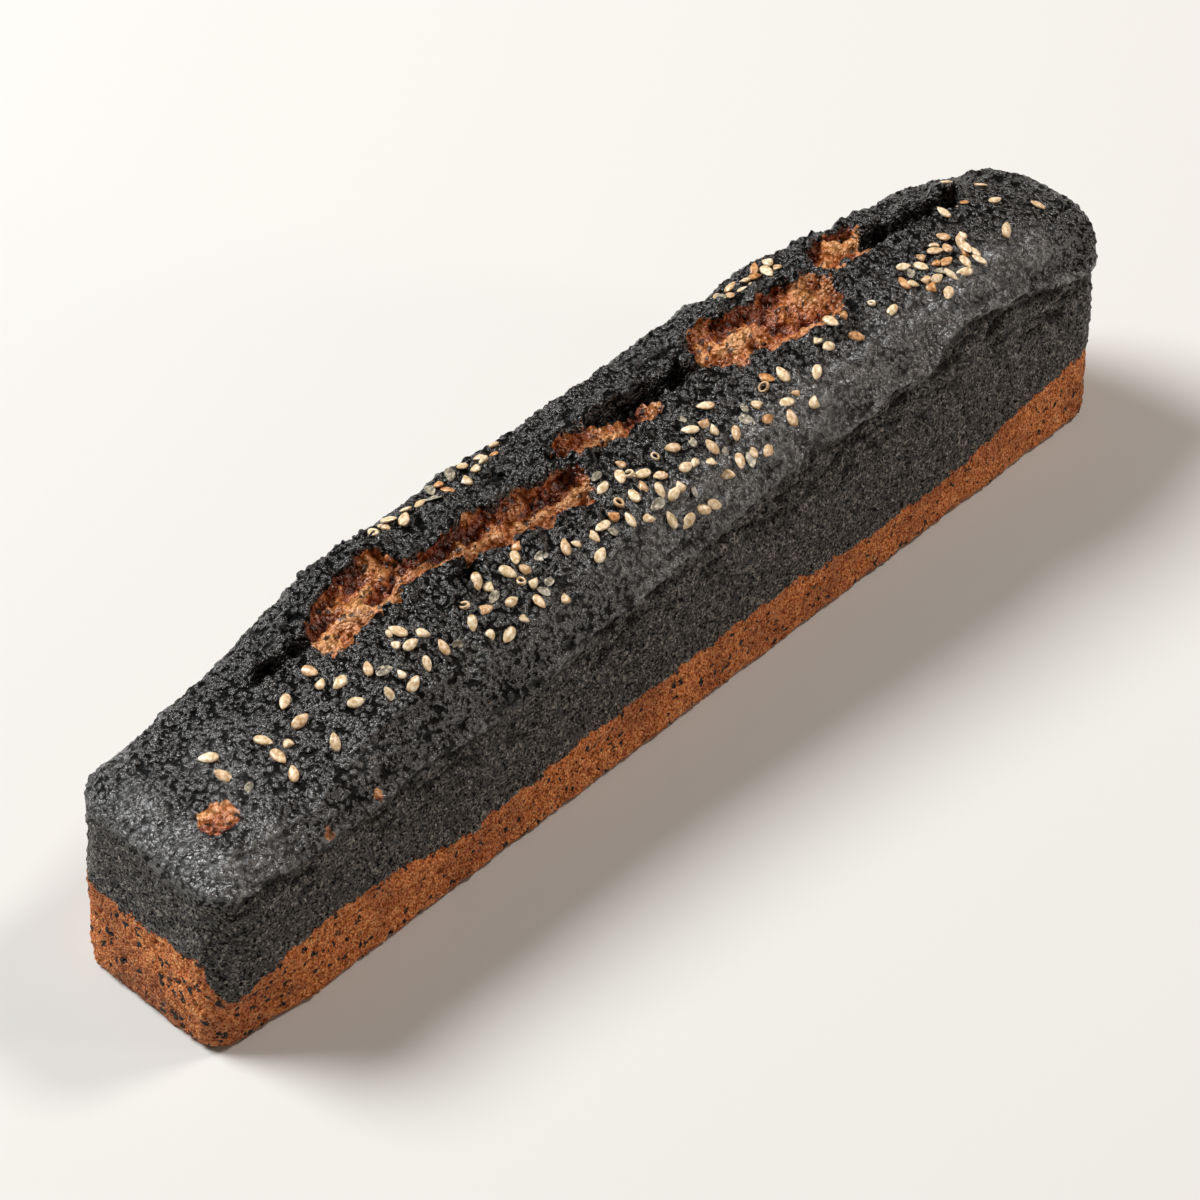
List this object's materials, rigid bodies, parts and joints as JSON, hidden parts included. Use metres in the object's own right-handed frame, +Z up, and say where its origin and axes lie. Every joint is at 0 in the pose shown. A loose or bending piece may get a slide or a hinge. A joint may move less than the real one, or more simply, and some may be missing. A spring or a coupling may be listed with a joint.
{
  "type": "pound cake",
  "caption": "Slim bar-shaped loaf cake with a dark split crust, an orange base layer and sesame seeds scattered on top; rests on its flat base.",
  "frame": {"origin": "middle of the flat base that the loaf rests on, at the bottom centre of its bounding box", "axes": "+X runs along the loaf towards the end with the higher rim, +Y runs across it towards the side nearer the split, and +Z points up"},
  "size_m": [0.2182, 0.0362, 0.0532],
  "materials": {
    "crust": "matte",
    "sesame": "satin"
  },
  "bodies": {
    "root": {"loaf": "crust", "sesame_seed_01": "sesame", "sesame_seed_02": "sesame", "sesame_seed_03": "sesame", "sesame_seed_04": "sesame", "sesame_seed_05": "sesame", "sesame_seed_06": "sesame", "sesame_seed_07": "sesame", "sesame_seed_08": "sesame", "sesame_seed_09": "sesame", "sesame_seed_10": "sesame", "sesame_seed_11": "sesame", "sesame_seed_12": "sesame", "sesame_seed_13": "sesame", "sesame_seed_14": "sesame", "sesame_seed_15": "sesame", "sesame_seed_16": "sesame", "sesame_seed_17": "sesame", "sesame_seed_18": "sesame", "sesame_seed_19": "sesame", "sesame_seed_20": "sesame", "sesame_seed_21": "sesame", "sesame_seed_22": "sesame", "sesame_seed_23": "sesame", "sesame_seed_24": "sesame", "sesame_seed_25": "sesame", "sesame_seed_26": "sesame", "sesame_seed_27": "sesame", "sesame_seed_28": "sesame", "sesame_seed_29": "sesame", "sesame_seed_30": "sesame", "sesame_seed_31": "sesame", "sesame_seed_32": "sesame", "sesame_seed_33": "sesame", "sesame_seed_34": "sesame", "sesame_seed_35": "sesame", "sesame_seed_36": "sesame", "sesame_seed_37": "sesame", "sesame_seed_38": "sesame", "sesame_seed_39": "sesame", "sesame_seed_40": "sesame", "sesame_seed_41": "sesame", "sesame_seed_42": "sesame", "sesame_seed_43": "sesame", "sesame_seed_44": "sesame", "sesame_seed_45": "sesame", "sesame_seed_46": "sesame", "sesame_seed_47": "sesame", "sesame_seed_48": "sesame", "sesame_seed_49": "sesame", "sesame_seed_50": "sesame", "sesame_seed_51": "sesame", "sesame_seed_52": "sesame", "sesame_seed_53": "sesame", "sesame_seed_54": "sesame", "sesame_seed_55": "sesame", "sesame_seed_56": "sesame", "sesame_seed_57": "sesame", "sesame_seed_58": "sesame", "sesame_seed_59": "sesame"}
  },
  "joints": []
}
